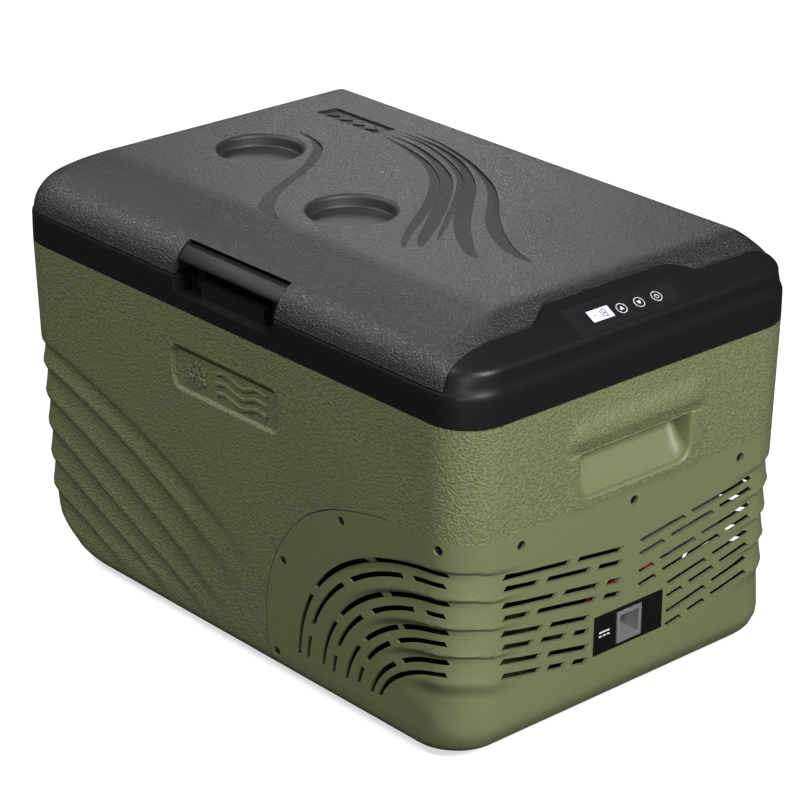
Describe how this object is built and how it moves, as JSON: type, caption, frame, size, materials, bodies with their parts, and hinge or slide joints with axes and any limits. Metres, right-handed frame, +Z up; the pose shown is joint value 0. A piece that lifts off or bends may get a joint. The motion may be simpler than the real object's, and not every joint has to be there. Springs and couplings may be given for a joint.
{
  "type": "compressor cooler fridge",
  "caption": "Portable compressor cooler with hinged lid, front latch, end handles, sloped key panel, slotted machine cover and a two-level insulated tub.",
  "frame": {"origin": "bottom centre of the object, on the floor under the middle of its box", "axes": "+X along the length towards the machine end, +Z up, latch side faces -Y"},
  "size_m": [0.587, 0.378, 0.3696],
  "materials": {
    "shell_green": "fine grain moulded polypropylene",
    "screw_steel": "plated",
    "frame_black": "satin",
    "trim_black": "satin",
    "lid_grey": "coarse moulded grain",
    "latch_grey": "satin",
    "tub_white": "satin",
    "foam": "rigid foam, matt",
    "rubber": "matt",
    "zinc_plate": "rolled",
    "emblem_silver": "satin",
    "panel_gloss": "gloss",
    "lcd": "glass-smooth",
    "key_black": "gloss",
    "board_green": "solder resist",
    "inlet_black": "satin",
    "brass_pin": "plain",
    "copper": "drawn copper",
    "machine_black": "satin paint",
    "fan_black": "satin",
    "module_alu": "extruded",
    "wire": "satin"
  },
  "bodies": {
    "body": {"outer_shell": "shell_green", "bay_frame": "frame_black", "machine_cover": "shell_green", "cover_screws": "screw_steel", "top_trim": "trim_black", "inner_liner": "tub_white", "foam_body": "foam", "base_plate": "zinc_plate", "feet": "rubber", "foot_screws": "screw_steel", "hinge_pin_left": "screw_steel", "hinge_pin_right": "screw_steel", "latch_strike": "trim_black", "front_emblem": "emblem_silver", "control_panel": "panel_gloss", "display": "lcd", "panel_board": "board_green", "inlet_plate": "panel_gloss", "dc_inlet": "inlet_black", "inlet_pins": "brass_pin", "evaporator_plate": "zinc_plate", "evaporator_coil": "copper", "temp_sensor": "inlet_black", "compressor": "machine_black", "compressor_mounts": "rubber", "compressor_bolts": "screw_steel", "condenser": "copper", "fan_frame": "fan_black", "fan_screws": "screw_steel", "filter_drier": "copper", "discharge_pipe": "copper", "liquid_pipe": "copper", "suction_pipe": "copper", "control_module": "module_alu", "wiring": "wire"},
    "lid": {"lid": "lid_grey", "lid_liner": "tub_white", "lid_foam": "foam", "lid_gasket": "rubber", "hinge_leaf_left": "trim_black", "hinge_leaf_right": "trim_black", "hinge_screws": "screw_steel", "latch_pin": "screw_steel", "latch_spring": "screw_steel", "nameplate": "lid_grey"},
    "latch": {"latch_handle": "latch_grey"},
    "fan": {"fan_rotor": "fan_black"},
    "key_up": {"button_up": "key_black"},
    "key_down": {"button_down": "key_black"},
    "key_power": {"button_power": "key_black"}
  },
  "joints": [
    {"name": "lid_hinge", "type": "hinge", "parent": "body", "child": "lid", "pos_m": [0, 0.184, 0.332], "axis": [-1, 0, 0], "range_deg": [0, 95]},
    {"name": "latch_pivot", "type": "hinge", "parent": "lid", "child": "latch", "pos_m": [0, -0.168, 0.342], "axis": [-1, 0, 0], "range_deg": [0, 35], "stiffness_Nm_per_rad": 0.12},
    {"name": "fan_spin", "type": "hinge", "parent": "body", "child": "fan", "pos_m": [0.15, -0.119, 0.087], "axis": [0, 1, 0], "continuous": true},
    {"name": "up_press", "type": "slide", "parent": "body", "child": "key_up", "axis": [-0.4779, 0, -0.8784], "range_m": [0, 0.0005], "stiffness_N_per_m": 500},
    {"name": "down_press", "type": "slide", "parent": "body", "child": "key_down", "axis": [-0.4779, 0, -0.8784], "range_m": [0, 0.0005], "stiffness_N_per_m": 500},
    {"name": "power_press", "type": "slide", "parent": "body", "child": "key_power", "axis": [-0.4779, 0, -0.8784], "range_m": [0, 0.0005], "stiffness_N_per_m": 500}
  ]
}
